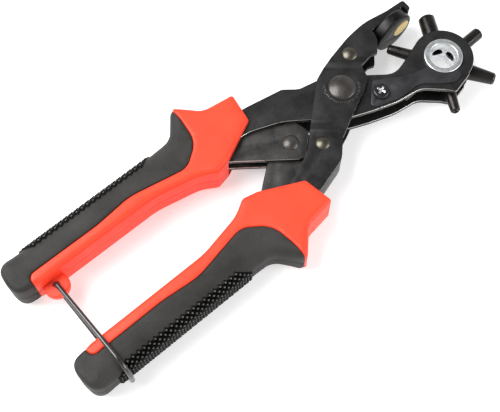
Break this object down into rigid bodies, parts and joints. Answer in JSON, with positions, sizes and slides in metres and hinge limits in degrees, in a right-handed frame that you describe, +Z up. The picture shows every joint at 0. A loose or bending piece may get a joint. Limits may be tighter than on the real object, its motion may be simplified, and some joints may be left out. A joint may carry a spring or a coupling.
{
  "type": "rotary hole punch",
  "caption": "Compound-lever punch pliers with a turning turret of tubular punches, a brass anvil, two-colour moulded grips and a wire bail that locks the handles.",
  "frame": {"origin": "bottom centre of the whole tool as it lies flat, handles locked shut", "axes": "+X from the handles to the jaws along the tool, +Y towards the upper handle and the anvil, +Z up through the thickness"},
  "size_m": [0.2376, 0.0894, 0.0234],
  "materials": {
    "blackened_plate": "black oxide, satin, bright sheared edges",
    "blackened_spring": "black oxide spring steel",
    "black_rivet": "black oxide, polished dome",
    "zinc_rivet": "dull yellowish zinc plating",
    "zinc_bush": "bright zinc plating",
    "turret_steel": "black oxide, turned",
    "anvil_steel": "dark oxide, turned",
    "anvil_brass": "turned brass",
    "red_plastic": "semi-gloss moulded polypropylene",
    "black_rubber": "matte soft overmould with pyramid grip texture",
    "black_wire": "black lacquered spring wire"
  },
  "bodies": {
    "wheel_jaw": {"wheel_jaw_front": "blackened_plate", "wheel_jaw_rear": "blackened_plate", "wheel_jaw_tail": "blackened_plate", "axle_eyelet_front": "zinc_bush", "axle_eyelet_rear": "zinc_bush", "index_spring": "blackened_spring", "index_spring_screw": "black_rivet", "jaw_spacer": "blackened_plate", "main_pivot_rivet": "black_rivet", "pivot_sleeve": "blackened_plate", "opening_spring": "blackened_spring"},
    "punch_wheel": {"wheel_hub": "turret_steel", "slug_sleeve": "zinc_bush", "punch_tube_1": "turret_steel", "punch_tube_2": "turret_steel", "punch_tube_3": "turret_steel", "punch_tube_4": "turret_steel", "punch_tube_5": "turret_steel", "punch_tube_6": "turret_steel"},
    "anvil_jaw": {"anvil_jaw_channel": "blackened_plate", "anvil_holder": "anvil_steel", "anvil_pad": "anvil_brass", "jaw_rivet": "zinc_rivet", "jaw_rivet_sleeve": "blackened_plate", "tail_rivet": "zinc_rivet", "tail_rivet_sleeve": "blackened_plate"},
    "upper_handle": {"upper_lever_front": "blackened_plate", "upper_lever_rear": "blackened_plate", "upper_lever_spacer": "blackened_plate", "toggle_rivet": "black_rivet", "upper_handle_pin": "black_rivet", "upper_grip_body": "red_plastic", "upper_grip_cover": "black_rubber"},
    "lower_handle": {"lower_lever": "blackened_plate", "lower_handle_pin": "black_rivet", "lower_pin_washer_front": "blackened_plate", "lower_pin_washer_rear": "blackened_plate", "lower_grip_body": "red_plastic", "lower_grip_cover": "black_rubber"},
    "bail": {"bail": "black_wire"}
  },
  "joints": [
    {"name": "jaw_pivot", "type": "hinge", "parent": "wheel_jaw", "child": "anvil_jaw", "pos_m": [0.04732, 0.00445, 0.0117], "axis": [0, 0, 1], "range_deg": [0, 12], "deforming": ["opening_spring", "bail"]},
    {"name": "wheel_spin", "type": "hinge", "parent": "wheel_jaw", "child": "punch_wheel", "pos_m": [0.09357, -0.01255, 0.0117], "axis": [0, 0, 1], "continuous": true, "deforming": ["index_spring"]},
    {"name": "upper_handle_pivot", "type": "hinge", "parent": "wheel_jaw", "child": "upper_handle", "pos_m": [-0.01368, 0.01975, 0.0117], "axis": [0, 0, 1], "range_deg": [-8, 0]},
    {"name": "lower_handle_pivot", "type": "hinge", "parent": "anvil_jaw", "child": "lower_handle", "pos_m": [-0.01368, -0.01975, 0.0117], "axis": [0, 0, 1], "range_deg": [0, 10]},
    {"name": "bail_pivot", "type": "hinge", "parent": "upper_handle", "child": "bail", "pos_m": [-0.10268, 0.01425, 0.0117], "axis": [0, 0, 1], "range_deg": [-85, 0]}
  ],
  "couplings": [
    {"joint": "upper_handle_pivot", "follows": "jaw_pivot", "ratio": -0.612},
    {"joint": "lower_handle_pivot", "follows": "jaw_pivot", "ratio": 0.788},
    {"joint": "bail_pivot", "follows": "jaw_pivot", "ratio": -7}
  ]
}
